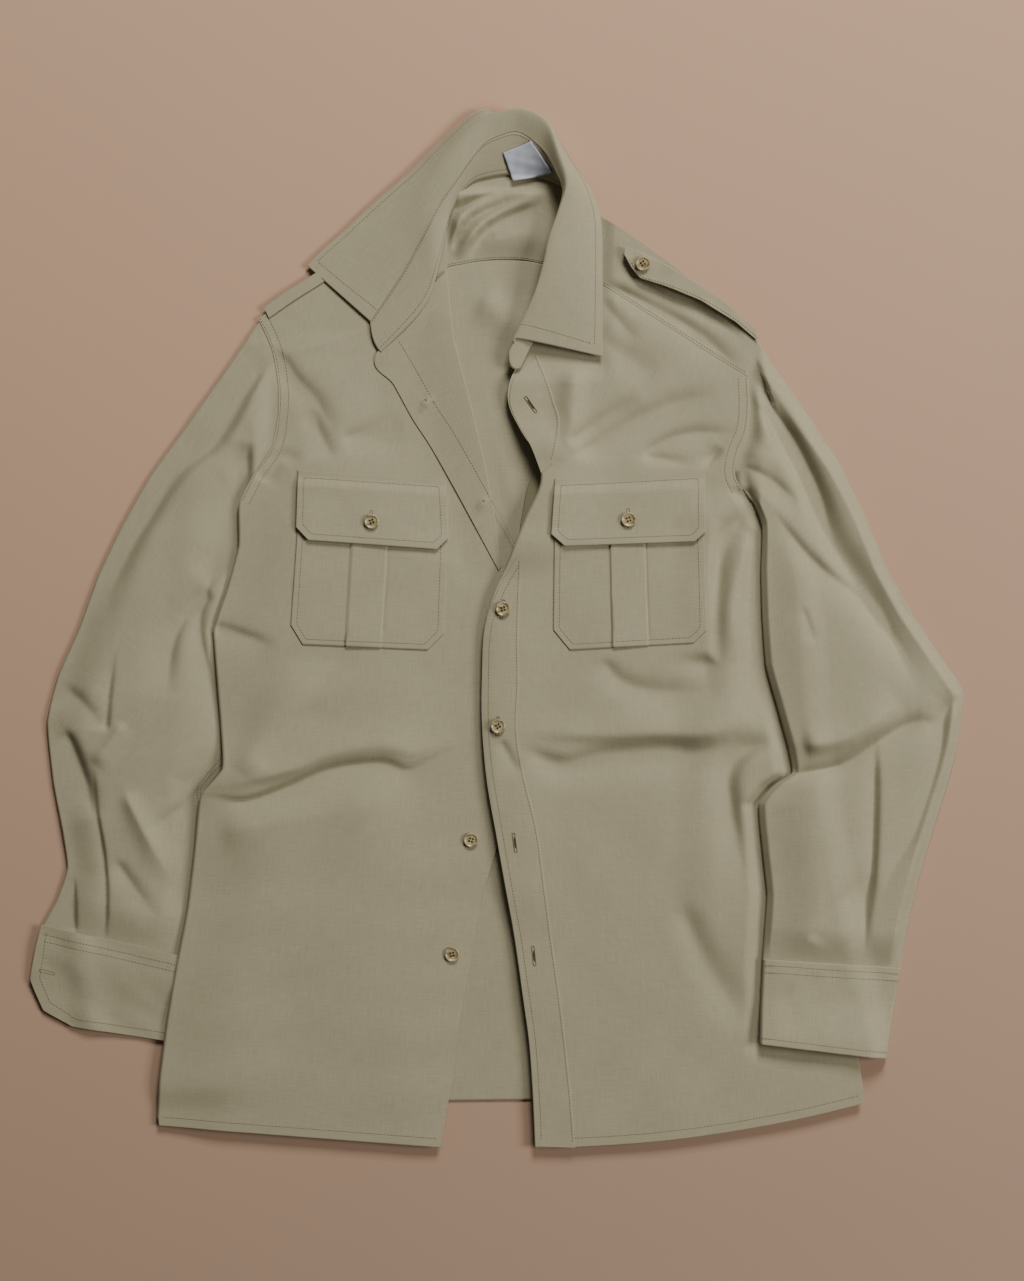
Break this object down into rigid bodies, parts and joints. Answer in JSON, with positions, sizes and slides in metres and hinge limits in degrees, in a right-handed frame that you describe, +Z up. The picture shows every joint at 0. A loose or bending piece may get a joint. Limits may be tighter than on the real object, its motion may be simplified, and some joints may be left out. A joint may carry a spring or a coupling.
{
  "type": "uniform shirt",
  "caption": "Long-sleeved khaki uniform shirt laid flat, collar and left front opened out, with flapped chest pockets and shoulder straps.",
  "frame": {"origin": "middle of the underside, on the surface that the shirt lies on", "axes": "+Y from the hem to the collar, +Z up out of the front, +X towards the sleeve on the right of the picture"},
  "size_m": [0.7846, 0.871, 0.0265],
  "materials": {
    "shirt_cloth": "khaki cotton poplin, matt",
    "label_cloth": "pale satin label tape, blank",
    "button": "polished cream and olive four-hole button"
  },
  "bodies": {
    "root": {"back": "shirt_cloth", "yoke": "shirt_cloth", "right_yoke_front": "shirt_cloth", "left_front": "shirt_cloth", "right_front": "shirt_cloth", "left_band": "shirt_cloth", "right_placket": "shirt_cloth", "right_upper_placket": "shirt_cloth", "left_pocket": "shirt_cloth", "left_flap": "shirt_cloth", "right_pocket": "shirt_cloth", "right_flap": "shirt_cloth", "left_sleeve": "shirt_cloth", "right_sleeve": "shirt_cloth", "left_cuff": "shirt_cloth", "right_cuff": "shirt_cloth", "collar_stand": "shirt_cloth", "collar_leaf": "shirt_cloth", "label": "label_cloth", "left_epaulette": "shirt_cloth", "right_epaulette": "shirt_cloth", "right_epaulette_button": "button", "left_pocket_button": "button", "right_pocket_button": "button", "placket_button_1": "button", "placket_button_2": "button", "placket_button_3": "button", "placket_button_4": "button"}
  },
  "joints": []
}
